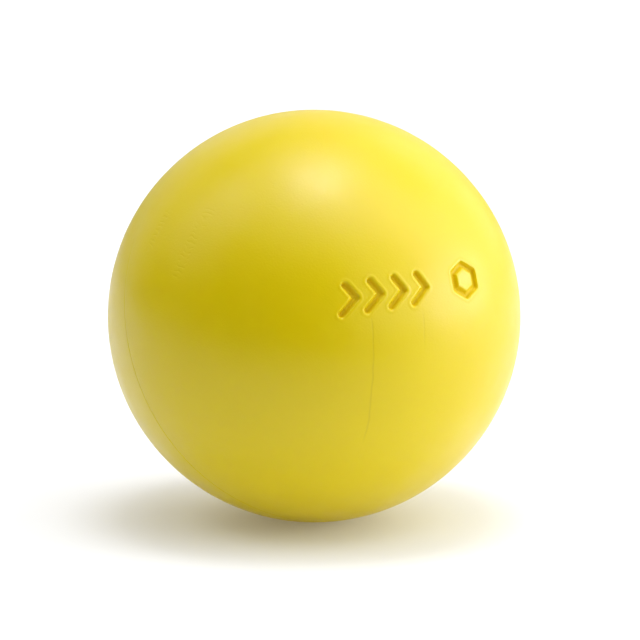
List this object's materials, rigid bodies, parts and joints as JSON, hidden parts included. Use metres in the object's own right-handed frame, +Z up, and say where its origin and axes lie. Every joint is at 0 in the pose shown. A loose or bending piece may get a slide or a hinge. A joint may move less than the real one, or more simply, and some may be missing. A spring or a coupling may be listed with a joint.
{
  "type": "table football ball",
  "caption": "Smooth yellow table football ball: foamed core inside two bonded half covers, with a small recessed mark.",
  "frame": {"origin": "centre of the ball", "axes": "+Z up as the ball rests; the recessed mark faces -Y and is turned 17.5 degrees upwards, and reads from -X to +X"},
  "size_m": [0.034, 0.034, 0.034],
  "materials": {
    "cover": "satin",
    "core": "matte"
  },
  "bodies": {
    "root": {"cover_front": "cover", "cover_rear": "cover", "core": "core"}
  },
  "joints": []
}
